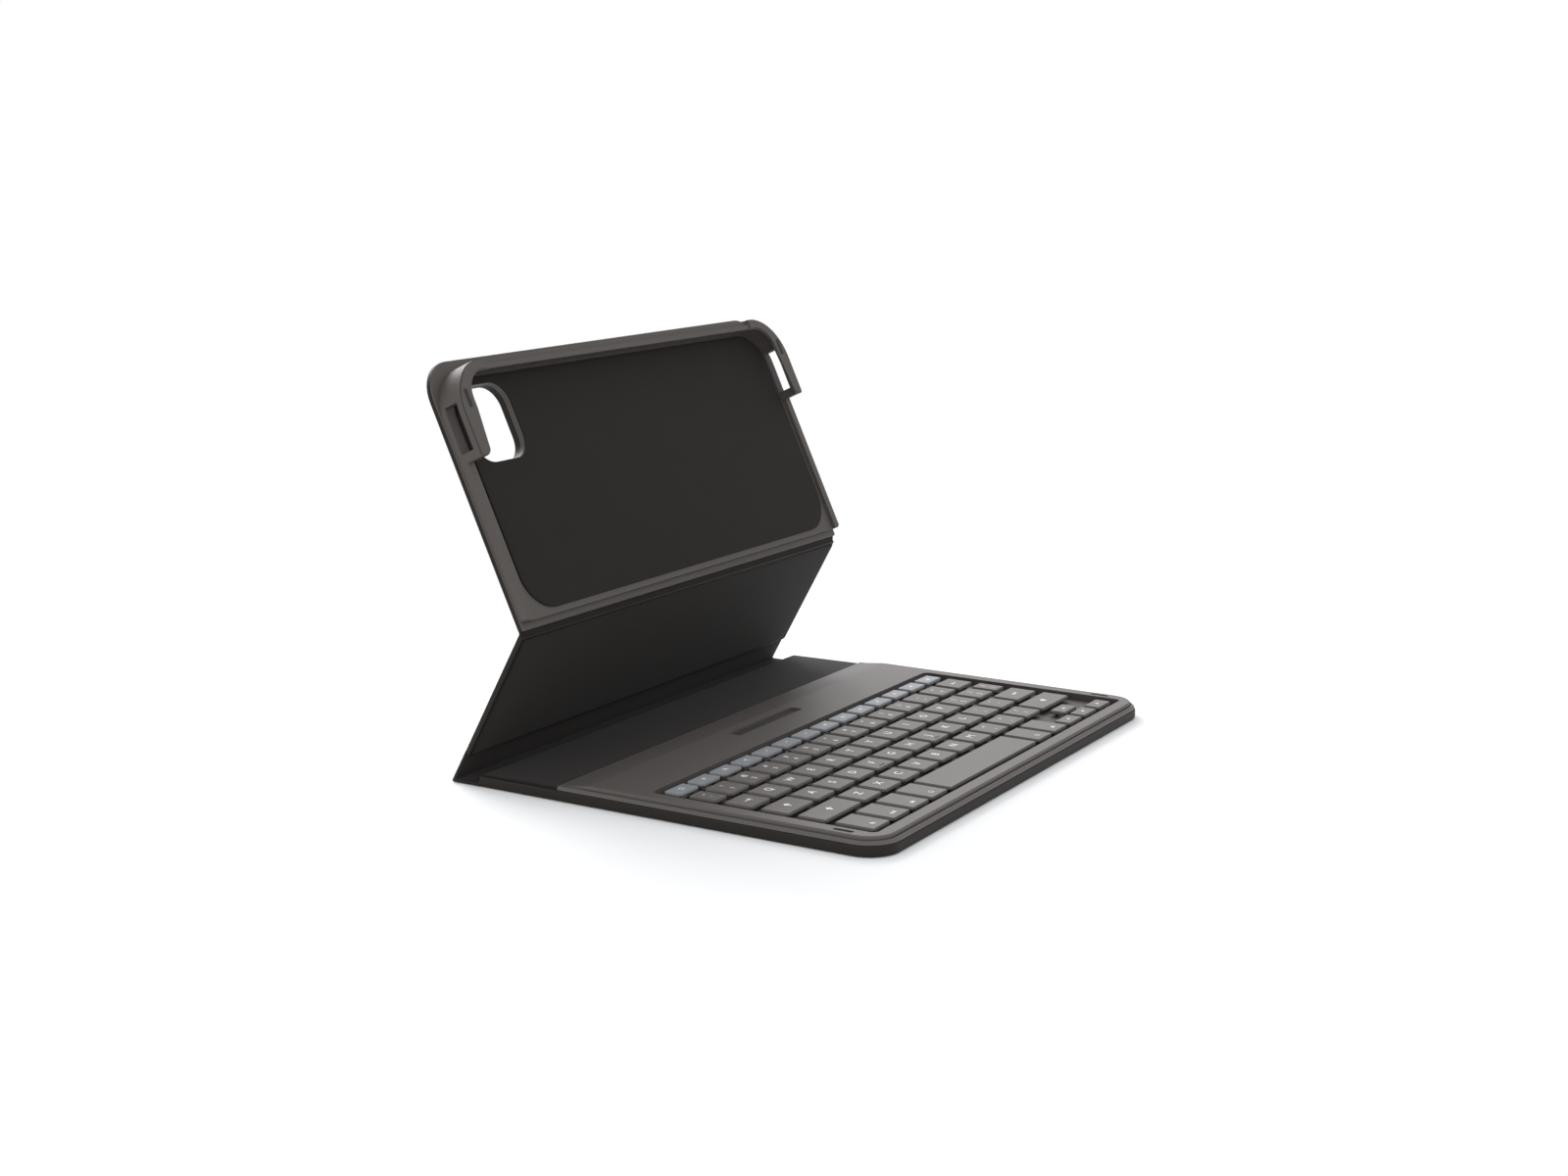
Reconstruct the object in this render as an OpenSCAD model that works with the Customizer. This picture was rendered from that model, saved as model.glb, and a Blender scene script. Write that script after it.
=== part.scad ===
// Folding keyboard case for a tablet, standing open in its typing position.
// X runs along the keyboard, -Y points to the person typing and Z is up.
// The origin is the middle of the base's underside.

/* [Tablet that the case holds] */
// Long side of the tablet
tablet_w = 248.6; // [247:0.2:250]
// Short side of the tablet
tablet_h = 179.5; // [177:0.5:181]
// Thickness of the tablet
tablet_t = 7.8; // [6.6:0.1:8.4]
// Corner radius of the tablet
tablet_r = 18; // [14:1:20]
// Play between the tablet and the walls of its bay
bay_gap = 0.3; // [0.2:0.1:0.5]

/* [Typing position] */
// Tilt of the tablet from the table, in degrees
tablet_tilt = 64.7; // [62:0.1:67]
// Length of tablet that hangs below the fold
tray_hang = 70; // [68:0.5:72]
// Length of the leg behind the tablet, from the floor crease to the fold
leg_l = 77; // [76:0.5:79]
// Length of the soft lower part of that leg
gusset_l = 15; // [12:0.5:18]
// Distance from the base's front edge to where the tablet's back edge stands
dock_y = 134.2; // [132:0.2:137]

/* [Base] */
// Width of the case beyond each short side of the tablet
side_margin = 5.7; // [5.2:0.1:8.5]
// Length of the base, from its front edge to the rear crease
base_l = 193; // [190:0.5:196]
// Radius of the base's front corners
base_r = 14; // [12:0.5:16]
// Height of the deck's rim above the table
rim_h = 7.8; // [7.6:0.1:8.6]
// Height of the lip that surrounds the rim
lip_h = 6.2; // [6:0.1:6.6]
// Height of the soft cover's side
side_h = 4.6; // [4.3:0.1:4.8]
// Thickness of the soft cover
skin_t = 1.0; // [0.8:0.1:1.2]
// Thickness of the bottom board
board_t = 0.9; // [0.8:0.1:1.1]
// Length of the hard deck
deck_l = 152; // [148:0.5:156]
// Wall of the hard deck
deck_wall = 1.6; // [1.2:0.1:1.8]
// Height of the soft apron at its rear end
apron_h = 5.1; // [4.6:0.1:5.4]

/* [Keys] */
// Pitch of the keys along a row
key_px = 17.17; // [16.8:0.01:17.3]
// Pitch of the rows
key_py = 16.83; // [16.5:0.01:17]
// Width of a letter key at its foot
key_w = 14.4; // [13.6:0.1:14.8]
// Depth of a letter key at its foot
key_d = 13.2; // [12.6:0.1:13.6]
// Height of a key cap
key_h = 1.6; // [1.4:0.1:1.8]
// Slope of a cap, from its foot to its top
key_slope = 0.5; // [0.3:0.1:0.7]
// Travel of a key
key_travel = 1.2; // [0.9:0.1:1.3]
// Depth of the pan that the keys stand in
pan_depth = 3.2; // [3:0.1:3.4]
// Depth of a function key
fn_d = 8.3; // [7.5:0.1:8.6]
// Depth of the space bar and its neighbours
space_d = 17.7; // [17:0.1:18]
// Width of the modifier and arrow keys
mod_w = 13.8; // [13.2:0.1:14.2]
// Width of the tab key
tab_w = 14.8; // [14:0.1:15.4]
// Width of the caps key
caps_w = 20.5; // [19.5:0.1:21.5]
// Width of the left shift key
shift_w = 29.2; // [28:0.1:30]
// Width of the first key of the number row
grave_w = 9.0; // [8.5:0.1:9.8]
// Distance from the base's front edge to the first row
keys_front = 11.4; // [11:0.1:12.5]

/* [Tray] */
// Thickness of the tray's padded lining
lining_t = 0.8; // [0.6:0.1:1]
// Thickness of the tray's hard shell
shell_t = 2.6; // [2.2:0.1:3]
// Thickness of the tray's soft cover with its board
cover_t = 3.0; // [2.6:0.1:3.4]
// Wall above the tablet's top edge
top_wall = 4.0; // [3.4:0.1:4.4]
// Corner radius of the tray
tray_r = 22; // [20:1:24]
// Length of the corner brackets, measured down the tablet's short sides
bracket_l = 37; // [32:1:42]
// Length of the corner brackets along the tablet's top edge
bracket_w = 20; // [16:1:24]
// Reach of the bracket's bezel over the tablet
bezel_reach = 4.2; // [3.5:0.1:5]
// Thickness of the bracket's bezel
bezel_t = 1.2; // [1:0.1:1.5]
// Side of the square camera opening
camera_w = 34; // [30:1:36]

/* [Leg] */
// Thickness of the leg's board
leg_board_t = 1.6; // [1.2:0.1:2]
// Thickness of the leg's lining
leg_lining_t = 0.8; // [0.6:0.1:1]

/* [Hidden] */
$fn = 64;
HULL_FN = 32;          // roundness of hulled corners
FIT = 0.2;             // clearance between neighbouring pieces
CREASE = 0.3;          // half gap at a crease of the cover
EPS = 0.01;            // depth by which a cut passes a face

// Keys of each row, from left to right
Q_ROW = ["q", "w", "e", "r", "t", "y", "u", "i", "o", "p"];
A_ROW = ["a", "s", "d", "f", "g", "h", "j", "k", "l"];
Z_ROW = ["z", "x", "c", "v", "b", "n", "m"];
LETTERS = concat(Q_ROW, A_ROW, Z_ROW);

// Base
base_w = tablet_w + 2 * side_margin;
half_w = base_w / 2;
front_y = -base_l / 2;
rear_y = base_l / 2;
board_top = skin_t + board_t;
deck_half = half_w - 0.4;
skirt_half = half_w - skin_t - FIT;
deck_rear = front_y + deck_l;
pan_floor = rim_h - pan_depth;
pan_floor_t = 0.8;
plate_t = 0.5;
membrane_t = 0.3;
dome_sheet_t = 0.4;
stem_r = 1.2;                          // stem under each cap, which a dome guides
STEM_FIT = 0.31;                       // running gap around a stem
lip_in = 0.8;
rim_in = 2.0;
rim_chamfer = 0.5;
groove_w = 0.6;                        // shadow groove between the lip and the rim
groove_depth = 0.9;
roof = lip_h - 0.6;                    // top of the hollow under the deck
board_x = base_w * 0.08;               // left end of the circuit board
cell_gap = 3;                          // behind the pan's wall
electronics_d = 12.5;                  // depth of the battery and the circuit board
deck_slope = 12;                       // length over which the deck falls to the apron
apron_front_h = lip_h - 0.5;

// Keys
key_gap = key_px - key_w;
row_gap = key_py - key_d;
block_w = grave_w + 12 * key_px + key_gap + 14.9;
block_x = -block_w / 2;
pan_gap_x = 4.6;
pan_gap_y = 3.2;
key_z = rim_h - FIT - key_h;
cap_roof = 0.8;
stem_low = pan_floor - pan_floor_t + key_travel + 0.05;
dome_top = key_z + key_h - cap_roof - key_travel - FIT;
row_y = [for (i = 0; i < 6; i = i + 1)
    i == 0 ? keys_front + space_d / 2 :
    i == 5 ? keys_front + space_d + row_gap + 3 * key_py + key_d + row_gap + fn_d / 2 :
    keys_front + space_d + row_gap + (i - 1) * key_py + key_d / 2];
pan_front = keys_front - pan_gap_y;
pan_rear = row_y[5] + fn_d / 2 + pan_gap_y;
pan_half = block_w / 2 + pan_gap_x;
pan_r = 3;
pan_wall = 1.2;
half_key_d = (space_d - 2.0) / 2;      // arrow keys are half as deep

// Tray, in its own frame: x along the case, y up the tablet, z out of its screen
bay_half = tablet_w / 2 + bay_gap;
bay_top = tablet_h + bay_gap;
tray_top = bay_top + top_wall;
tray_back = -(tablet_t + FIT);
shell_front = tray_back - lining_t;
cover_front = shell_front - shell_t;
tray_outer = cover_front - cover_t;
bracket_end = tablet_h - bracket_l;
shell_in = 0.6;
window_l = 20.5;                       // length of the side windows
bezel_corner = 2.4;                    // rounding of the bezel's lower inner corner

// Where the fold, the leg and the floor crease lie
tray_y0 = front_y + dock_y - tablet_t * sin(tablet_tilt);
tray_z0 = rim_h - 0.5 + tablet_t * cos(tablet_tilt);
fold_y = tray_y0 + tray_hang * cos(tablet_tilt) - tray_outer * sin(tablet_tilt);
fold_z = tray_z0 + tray_hang * sin(tablet_tilt) + tray_outer * cos(tablet_tilt);
leg_angle = asin(fold_z / leg_l);
crease_y = fold_y + sqrt(leg_l * leg_l - fold_z * fold_z);
leg_half = half_w - 0.2;
leg_t = skin_t + leg_board_t + leg_lining_t;
strip_t = skin_t + leg_lining_t;
fold_gap = 2.4;                        // gap in the stiff layers that lets a crease bend

// Rectangle with four rounded corners, centred across X
module rounded(w, y0, y1, r) {
    translate([-w / 2 + r, y0]) square([w - 2 * r, y1 - y0]);
    translate([-w / 2, y0 + r]) square([w, y1 - y0 - 2 * r]);
    for (x = [-w / 2 + r, w / 2 - r], y = [y0 + r, y1 - r])
        translate([x, y]) circle(r);
}

// Plate with two rounded corners at its low end in Y
module front_rounded(w, y0, y1, r) {
    translate([-w / 2 + r, y0]) square([w - 2 * r, y1 - y0]);
    translate([-w / 2, y0 + r]) square([w, y1 - y0 - r]);
    for (x = [-w / 2 + r, w / 2 - r])
        translate([x, y0 + r]) circle(r);
}

// The same plate with its rounded corners at the high end in Y
module top_rounded(w, y0, y1, r) {
    mirror([0, 1]) front_rounded(w, -y1, -y0, r);
}

// Slot with round ends, long in Y
module capsule(w, y0, y1) {
    translate([-w / 2, y0 + w / 2]) square([w, y1 - y0 - w]);
    for (y = [y0 + w / 2, y1 - w / 2])
        translate([0, y]) circle(w / 2);
}

module slab(z0, z1) {
    translate([0, 0, z0]) linear_extrude(z1 - z0) children();
}

module place_tray() {
    translate([0, tray_y0, tray_z0]) rotate([tablet_tilt, 0, 0]) children();
}

// The leg's frame starts at the floor crease, with y up the leg and z towards the person
module place_leg() {
    translate([0, crease_y, 0]) rotate([180 - leg_angle, 0, 0]) children();
}

// Profile in the YZ plane drawn out along X
module along_x(half) {
    translate([-half, 0, 0]) rotate([90, 0, 90]) linear_extrude(2 * half) children();
}

// ---------------------------------------------------------------- base

module base_outline(inset, rear) {
    front_rounded(base_w - 2 * inset, front_y + inset, rear, base_r - inset);
}

module port_cut() {
    translate([half_w - 8, front_y + 131, 3.5]) rotate([90, 0, 90]) linear_extrude(10)
        rounded(9.6, -1.7, 1.7, 1.6);
}

module base_cover() {
    color([0.16, 0.15, 0.145]) difference() {
        hull() {
            slab(0, 0.1) base_outline(0.8, rear_y - CREASE, $fn = HULL_FN);
            slab(0.8, side_h) base_outline(0, rear_y - CREASE, $fn = HULL_FN);
        }
        slab(skin_t, side_h + 1) base_outline(skin_t, rear_y + 1);
        // The side band ends where the strip folds up against the base
        translate([-half_w - 1, rear_y - 1.6, skin_t]) cube([base_w + 2, 3, side_h]);
        port_cut();
    }
}

module base_board() {
    rib = pan_floor - pan_floor_t - dome_sheet_t - membrane_t - plate_t - board_top;
    color([0.2, 0.2, 0.2]) {
        slab(skin_t, board_top) base_outline(skin_t + FIT, deck_rear - FIT);
        // Ribs that carry the key plate
        for (i = [0:5])
            translate([-pan_half + 4, front_y + row_y[i] - 0.6, board_top])
                cube([2 * pan_half - 8, 1.2, rib]);
    }
}

module deck_outline(inset, rear) {
    front_rounded(2 * (deck_half - inset), front_y + 0.4 + inset, rear, base_r - inset);
}

module pan_outline(grow) {
    rounded(2 * (pan_half + grow), front_y + pan_front - grow, front_y + pan_rear + grow, pan_r + grow);
}

module rim_slots(depth) {
    for (x = [-1, 1])
        translate([x * (pan_half + deck_half - rim_in) / 2, front_y + 20.5, rim_h - depth])
            linear_extrude(depth + EPS) capsule(2.2, -4.5, 4.5);
}

module keyboard_deck() {
    pocket = skirt_half - deck_wall;
    color([0.42, 0.41, 0.4]) difference() {
        union() {
            slab(board_top, side_h + 0.1)
                front_rounded(2 * skirt_half, front_y + skin_t + FIT, deck_rear - FIT, base_r - skin_t - FIT);
            hull() {
                slab(side_h + 0.1, side_h + 0.8) deck_outline(0, deck_rear - FIT, $fn = HULL_FN);
                slab(lip_h - 0.1, lip_h) deck_outline(lip_in, deck_rear - FIT, $fn = HULL_FN);
            }
            hull() {
                slab(lip_h - 0.1, lip_h) deck_outline(rim_in, deck_rear - FIT - 1, $fn = HULL_FN);
                slab(rim_h - rim_chamfer - 0.1, rim_h - rim_chamfer)
                    deck_outline(rim_in, deck_rear - deck_slope, $fn = HULL_FN);
                slab(rim_h - 0.1, rim_h)
                    deck_outline(rim_in + rim_chamfer, deck_rear - deck_slope - 2, $fn = HULL_FN);
            }
        }
        // Shadow groove between the lip and the rim
        slab(lip_h - groove_depth, lip_h + EPS) difference() {
            deck_outline(rim_in - groove_w, deck_rear - deck_slope);
            deck_outline(rim_in, deck_rear - deck_slope + 1);
        }
        // Hollow under the whole deck
        slab(board_top - 1, pan_floor - pan_floor_t)
            front_rounded(2 * pocket, front_y + skin_t + FIT + deck_wall, deck_rear - deck_wall, base_r - 3);
        // Deeper hollow around the key pan
        slab(board_top - 1, roof) difference() {
            front_rounded(2 * pocket, front_y + skin_t + FIT + deck_wall, deck_rear - deck_wall, base_r - 3);
            pan_outline(pan_wall);
        }
        slab(pan_floor, rim_h + 1) pan_outline(0);
        for (k = all_keys())
            translate([k[1], front_y + k[2], pan_floor - pan_floor_t - 1])
                linear_extrude(pan_floor_t + 2) square([k[3] - 4, min(k[4] - 3, 9)], center = true);
        rim_slots(1.2);
        dock_pocket();
        port_cut();
    }
}

// Pocket under the middle of the tablet's lower edge
module dock_pocket() {
    translate([0, front_y + dock_y - 7.5, lip_h]) linear_extrude(rim_h) rounded(55, 0, 6, 1);
}

module dock_pad() {
    color([0.1, 0.1, 0.1])
        translate([0, front_y + dock_y - 7.5, lip_h]) linear_extrude(0.5) rounded(54.4, 0.3, 5.7, 0.8);
}

module key_plate() {
    z = pan_floor - pan_floor_t - dome_sheet_t - membrane_t - plate_t;
    color([0.7, 0.7, 0.72]) slab(z, z + plate_t)
        rounded(2 * pan_half - 2, front_y + pan_front + 1, front_y + pan_rear - 1, 2);
}

module switch_membrane() {
    z = pan_floor - pan_floor_t - dome_sheet_t - membrane_t;
    color([0.75, 0.78, 0.7]) slab(z, z + membrane_t)
        rounded(2 * pan_half - 2, front_y + pan_front + 1, front_y + pan_rear - 1, 2);
}

module dome_sheet() {
    z = pan_floor - pan_floor_t - dome_sheet_t;
    color([0.8, 0.8, 0.78]) difference() {
        union() {
            slab(z, z + dome_sheet_t)
                rounded(2 * pan_half - 2, front_y + pan_front + 1, front_y + pan_rear - 1, 2);
            for (k = all_keys())
                translate([k[1], front_y + k[2], z + dome_sheet_t - EPS])
                    cylinder(h = dome_top - z - dome_sheet_t + EPS, r1 = 2.3, r2 = 1.9);
        }
        for (k = all_keys())
            translate([k[1], front_y + k[2], z - 1]) cylinder(h = 6, r = stem_r + STEM_FIT);
    }
}

module circuit_board() {
    color([0.1, 0.3, 0.2]) {
        translate([board_x, front_y + pan_rear + cell_gap, board_top])
            cube([pan_half - board_x - 10, electronics_d, 0.8]);
        for (x = [0.15, 0.35, 0.5])
            translate([board_x + x * (pan_half - board_x), front_y + pan_rear + cell_gap + 3, board_top + 0.8])
                cube([electronics_d / 2, electronics_d / 2, 0.9]);
    }
}

module battery() {
    color([0.75, 0.75, 0.78])
        translate([-pan_half + 11, front_y + pan_rear + cell_gap, board_top])
            cube([pan_half - 21, electronics_d, roof - board_top - 0.4]);
}

module charge_port() {
    color([0.7, 0.7, 0.7]) translate([half_w - 8, front_y + 131, 3.5]) rotate([90, 0, 90]) difference() {
        linear_extrude(7.4) rounded(9.2, -1.5, 1.5, 1.45);
        translate([0, 0, 1]) linear_extrude(8) rounded(8.4, -1.15, 1.15, 1.1);
    }
}

module dock_magnets() {
    magnet_l = base_w * 0.115;
    color([0.6, 0.6, 0.62]) for (x = [-0.37, -0.185, 0.185, 0.37])
        translate([x * base_w - magnet_l / 2, front_y + dock_y - 2, roof - 1.8]) cube([magnet_l, 7, 1.8]);
}

module rim_magnets() {
    color([0.6, 0.6, 0.62]) for (x = [-1, 1])
        translate([x * (pan_half + pan_wall + skirt_half - deck_wall) / 2, front_y + 20.5, roof - 1.6])
            linear_extrude(1.6) square([3.6, 10], center = true);
}

module rim_plates() {
    color([0.08, 0.08, 0.08]) for (x = [-1, 1])
        translate([x * (pan_half + deck_half - rim_in) / 2, front_y + 20.5, rim_h - 1.2])
            linear_extrude(0.4) capsule(1.9, -4.3, 4.3);
}

module rear_apron() {
    y0 = deck_rear;
    y1 = rear_y - 1.8;
    color([0.2, 0.19, 0.185]) along_x(skirt_half)
        polygon([[y0, skin_t], [y1, skin_t], [y1, apron_h - 1], [y1 - 1.2, apron_h],
                 [y0, apron_front_h]]);
}

// ---------------------------------------------------------------- spine and leg

// Length lost to the mitre at the floor crease, at height z above the outer face
function mitre(z) = z / tan(leg_angle / 2);

module spine_cover() {
    color([0.16, 0.15, 0.145]) along_x(half_w)
        polygon([[rear_y + CREASE, 0], [crease_y - CREASE, 0],
                 [crease_y - CREASE - mitre(skin_t), skin_t], [rear_y + CREASE, skin_t]]);
}

module spine_lining() {
    color([0.2, 0.19, 0.185]) along_x(half_w - 0.5)
        polygon([[rear_y + CREASE, skin_t], [crease_y - CREASE - mitre(skin_t), skin_t],
                 [crease_y - CREASE - mitre(strip_t), strip_t], [rear_y + CREASE, strip_t]]);
}

module gusset_cover() {
    color([0.16, 0.15, 0.145]) place_leg() along_x(leg_half)
        polygon([[CREASE, 0], [gusset_l - CREASE, 0], [gusset_l - CREASE, skin_t],
                 [CREASE + mitre(skin_t), skin_t]]);
}

module gusset_lining() {
    color([0.2, 0.19, 0.185]) place_leg() along_x(leg_half - 0.5)
        polygon([[CREASE + mitre(skin_t), skin_t], [gusset_l - fold_gap / 2, skin_t],
                 [gusset_l - fold_gap / 2, strip_t], [CREASE + mitre(strip_t), strip_t]]);
}

module leg_cover() {
    color([0.16, 0.15, 0.145]) place_leg() difference() {
        slab(0, skin_t + leg_board_t) rounded(2 * leg_half, gusset_l + CREASE, leg_l - CREASE, 0.8);
        slab(skin_t, leg_t) rounded(2 * leg_half - 2.4, gusset_l + 1.6, leg_l - 1.6, 0.8);
        slab(skin_t, leg_t) translate([-leg_half - 1, gusset_l - 1]) square([2 * leg_half + 2, fold_gap / 2 + 1]);
    }
}

module leg_board() {
    color([0.3, 0.3, 0.3]) place_leg() slab(skin_t, skin_t + leg_board_t)
        rounded(2 * leg_half - 3, gusset_l + 1.9, leg_l - 1.9, 0.8);
}

module leg_lining() {
    color([0.2, 0.19, 0.185]) place_leg() slab(skin_t + leg_board_t, leg_t)
        rounded(2 * leg_half - 1, gusset_l + 1.6, leg_l - 1.6, 1);
}

// ---------------------------------------------------------------- tray

module tray_outline(inset, low) {
    top_rounded(base_w - 2 * inset, tray_hang + CREASE + low, tray_top - inset, tray_r - inset);
}

module shell_outline() {
    rounded_low = 3;
    intersection() {
        tray_outline(shell_in, 0);
        rounded(base_w, tray_hang + 3.4, tray_top + 30, rounded_low);
    }
}

module bay_outline(grow) {
    top_rounded(2 * (bay_half + grow), tray_hang - 40, bay_top + grow, tablet_r + bay_gap + grow);
}

// Where the two corner brackets are
module bracket_area(low, along) {
    for (x = [-1, 1])
        translate([x > 0 ? bay_half - along : -half_w - 1, low])
            square([half_w + 1 - bay_half + along, tray_top - low + 1]);
}

module camera_cut() {
    translate([-bay_half + 22, 0, tray_outer - 1]) linear_extrude(cover_t + shell_t + lining_t + 2)
        rounded(camera_w, bay_top - 22 - camera_w / 2, bay_top - 22 + camera_w / 2, 10);
}

// Side windows for the tablet's button and sound holes
module side_windows() {
    translate([-half_w - 1, bracket_end + 4, tray_back - 0.6]) cube([base_w + 2, window_l, tablet_t - 1]);
    // Shallow step above each window
    for (x = [-1, 1])
        translate([x > 0 ? half_w - shell_in - 0.8 : -half_w, bracket_end + 3 + window_l, tray_back - 0.6])
            cube([shell_in + 0.8, 2.4, tablet_t - 3]);
}

module tray_cover() {
    color([0.16, 0.15, 0.145]) place_tray() difference() {
        hull() {
            slab(tray_outer, tray_outer + 0.1) tray_outline(0.9, 0, $fn = HULL_FN);
            slab(tray_outer + 0.9, cover_front) tray_outline(0, 0, $fn = HULL_FN);
        }
        slab(tray_outer + skin_t, cover_front + 1) tray_outline(2.4, 2.4);
        camera_cut();
    }
}

module tray_board() {
    color([0.3, 0.3, 0.3]) place_tray() difference() {
        slab(tray_outer + skin_t, cover_front) tray_outline(2.6, 2.6);
        camera_cut();
    }
}

module tray_shell() {
    color([0.3, 0.29, 0.28]) place_tray() difference() {
        union() {
            slab(cover_front, shell_front) shell_outline();
            // Low side lips behind the tablet's edge
            slab(shell_front, tray_back + 0.9) difference() {
                shell_outline();
                bay_outline(0.8);
            }
            // Wall along the top, with a thin lip over the tablet's edge
            slab(shell_front, -0.4) difference() {
                intersection() {
                    shell_outline();
                    translate([-half_w, bay_top - 24]) square([base_w, 60]);
                    union() {
                        translate([-bay_half, bay_top - 1]) square([2 * bay_half, 20]);
                        bracket_area(bracket_end, bracket_w);
                    }
                }
                bay_outline(0);
            }
            slab(-0.4, 0.7) intersection() {
                translate([-bay_half + 16, bay_top - 1.3]) square([2 * bay_half - 32, 2.4]);
                shell_outline();
            }
            // Corner brackets with their bezels
            slab(shell_front, 0.15) difference() {
                intersection() {
                    shell_outline();
                    bracket_area(bracket_end, bracket_w);
                }
                bay_outline(0);
            }
            slab(0.15, 0.15 + bezel_t / 2) bezel(0);
            slab(0.15 + bezel_t / 2, 0.15 + bezel_t) bezel(0.5);
        }
        side_windows();
        camera_cut();
    }
}

// Flat bezel of the two corner brackets
module bezel(inset) {
    difference() {
        intersection() {
            tray_outline(shell_in + inset, 0);
            bracket_area(bracket_end + inset, bracket_w - inset);
        }
        top_rounded(2 * (bay_half - bezel_reach + inset), tray_hang, bay_top - bezel_reach / 2.6 + inset,
                    tablet_r - 6);
        // The bezel narrows towards its lower end
        for (x = [-1, 1])
            scale([x, 1]) polygon([[bay_half - bezel_reach - 2, bracket_end - 1],
                                   [bay_half - bezel_reach / 3, bracket_end - 1],
                                   [bay_half - bezel_reach - 0.5, bay_top - 8],
                                   [bay_half - bezel_reach - 2, bay_top - 8]]);
        // Rounded lower inner corner
        for (x = [-1, 1])
            scale([x, 1]) translate([bay_half - bezel_reach / 3 - 0.4, bracket_end + inset]) difference() {
                translate([-1, -1]) square(bezel_corner + 1);
                translate([bezel_corner, bezel_corner]) circle(bezel_corner);
            }
    }
}

module tray_lining() {
    color([0.22, 0.21, 0.2]) place_tray() difference() {
        slab(shell_front, tray_back) rounded(2 * bay_half - 3, tray_hang + 6, bay_top - 1.5, tablet_r - 1);
        camera_cut();
    }
}

module bezel_bumpers() {
    color([0.3, 0.22, 0.18]) place_tray() for (x = [-1, 1])
        translate([x * (bay_half - 0.2), bay_top - 12.5, 0.15 + bezel_t]) linear_extrude(0.25)
            capsule(1.8, -4, 4);
}

// ---------------------------------------------------------------- keys

// Every key as [name, x, y from the front edge, width, depth]
function key_run(names, row, x0, w, pitch, d) =
    [for (i = [0:len(names) - 1]) [names[i], x0 + w / 2 + i * pitch, row_y[row], w, d]];
function single(name, row, x0, x1) = [name, (x0 + x1) / 2, row_y[row], x1 - x0, row == 0 ? space_d : key_d];

q_x = block_x + tab_w + key_gap;
a_x = block_x + caps_w + key_gap;
z_x = block_x + shift_w + key_gap;
one_x = block_x + grave_w + key_gap;
mod_pitch = mod_w + key_gap;
fn_w = 14;
fn_pitch = (block_w - fn_w) / 13;
left_mods = block_x;
space_x0 = block_x + 4 * mod_pitch;
right_mods = -block_x - 5 * mod_pitch + key_gap;

function letter_keys() = concat(key_run(Q_ROW, 3, q_x, key_w, key_px, key_d),
    key_run(A_ROW, 2, a_x, key_w, key_px, key_d), key_run(Z_ROW, 1, z_x, key_w, key_px, key_d));
function function_row() = key_run([for (i = [0:13]) "f"], 5, block_x, fn_w, fn_pitch, fn_d);
function number_row() = concat([single("n", 4, block_x, block_x + grave_w)],
    key_run([for (i = [0:11]) "n"], 4, one_x, key_w, key_px, key_d),
    [single("n", 4, one_x + 12 * key_px, -block_x)]);
function edge_row() = concat([single("tab", 3, block_x, block_x + tab_w)],
    key_run(["p", "p"], 3, q_x + 10 * key_px, key_w, key_px, key_d),
    [single("slash", 3, q_x + 12 * key_px, -block_x)],
    [single("caps", 2, block_x, block_x + caps_w)],
    key_run(["p", "p"], 2, a_x + 9 * key_px, key_w, key_px, key_d),
    key_run(["p", "p", "p"], 1, z_x + 7 * key_px, key_w, key_px, key_d));
function arrow(x, y) = ["arrow", x, y, mod_w, half_key_d];
arrow_low = keys_front + half_key_d / 2;
arrow_high = keys_front + space_d - half_key_d / 2;
function command_row() = concat(
    key_run(["m", "m", "m", "m"], 0, left_mods, mod_w, mod_pitch, space_d),
    key_run(["m", "m"], 0, right_mods, mod_w, mod_pitch, space_d),
    [arrow(right_mods + 2 * mod_pitch + mod_w / 2, arrow_low),
     arrow(right_mods + 3 * mod_pitch + mod_w / 2, arrow_low),
     arrow(right_mods + 3 * mod_pitch + mod_w / 2, arrow_high),
     arrow(right_mods + 4 * mod_pitch + mod_w / 2, arrow_low)]);
SPACE = single("space", 0, space_x0, right_mods - key_gap);
RETURN = single("return", 2, a_x + 11 * key_px, -block_x);
LEFT_SHIFT = single("left_shift", 1, block_x, block_x + shift_w);
RIGHT_SHIFT = single("right_shift", 1, z_x + 10 * key_px, -block_x);
function all_keys() = concat(letter_keys(), function_row(), number_row(), edge_row(), command_row(),
    [SPACE, RETURN, LEFT_SHIFT, RIGHT_SHIFT]);

// Side view of a cap, narrower at its top
module cap_profile(w) {
    polygon([[-w / 2, 0], [w / 2, 0], [w / 2, key_h * 0.3], [w / 2 - key_slope, key_h],
             [-w / 2 + key_slope, key_h], [-w / 2, key_h * 0.3]]);
}

// Cap with sloping sides, rounded corners and a hollow underside
module cap(k) {
    w = k[3];
    d = k[4];
    wall = 1.1;
    translate([k[1], front_y + k[2], stem_low]) cylinder(h = key_z + key_h - cap_roof + EPS - stem_low, r = stem_r);
    translate([k[1], front_y + k[2], key_z]) difference() {
        intersection() {
            translate([0, d / 2, 0]) rotate([90, 0, 0]) linear_extrude(d) cap_profile(w);
            translate([-w / 2, 0, 0]) rotate([90, 0, 90]) linear_extrude(w) cap_profile(d);
            linear_extrude(key_h) rounded(w, -d / 2, d / 2, 1.3);
        }
        translate([-w / 2 + wall, -d / 2 + wall, -EPS]) cube([w - 2 * wall, d - 2 * wall, key_h - cap_roof]);
    }
}

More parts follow.
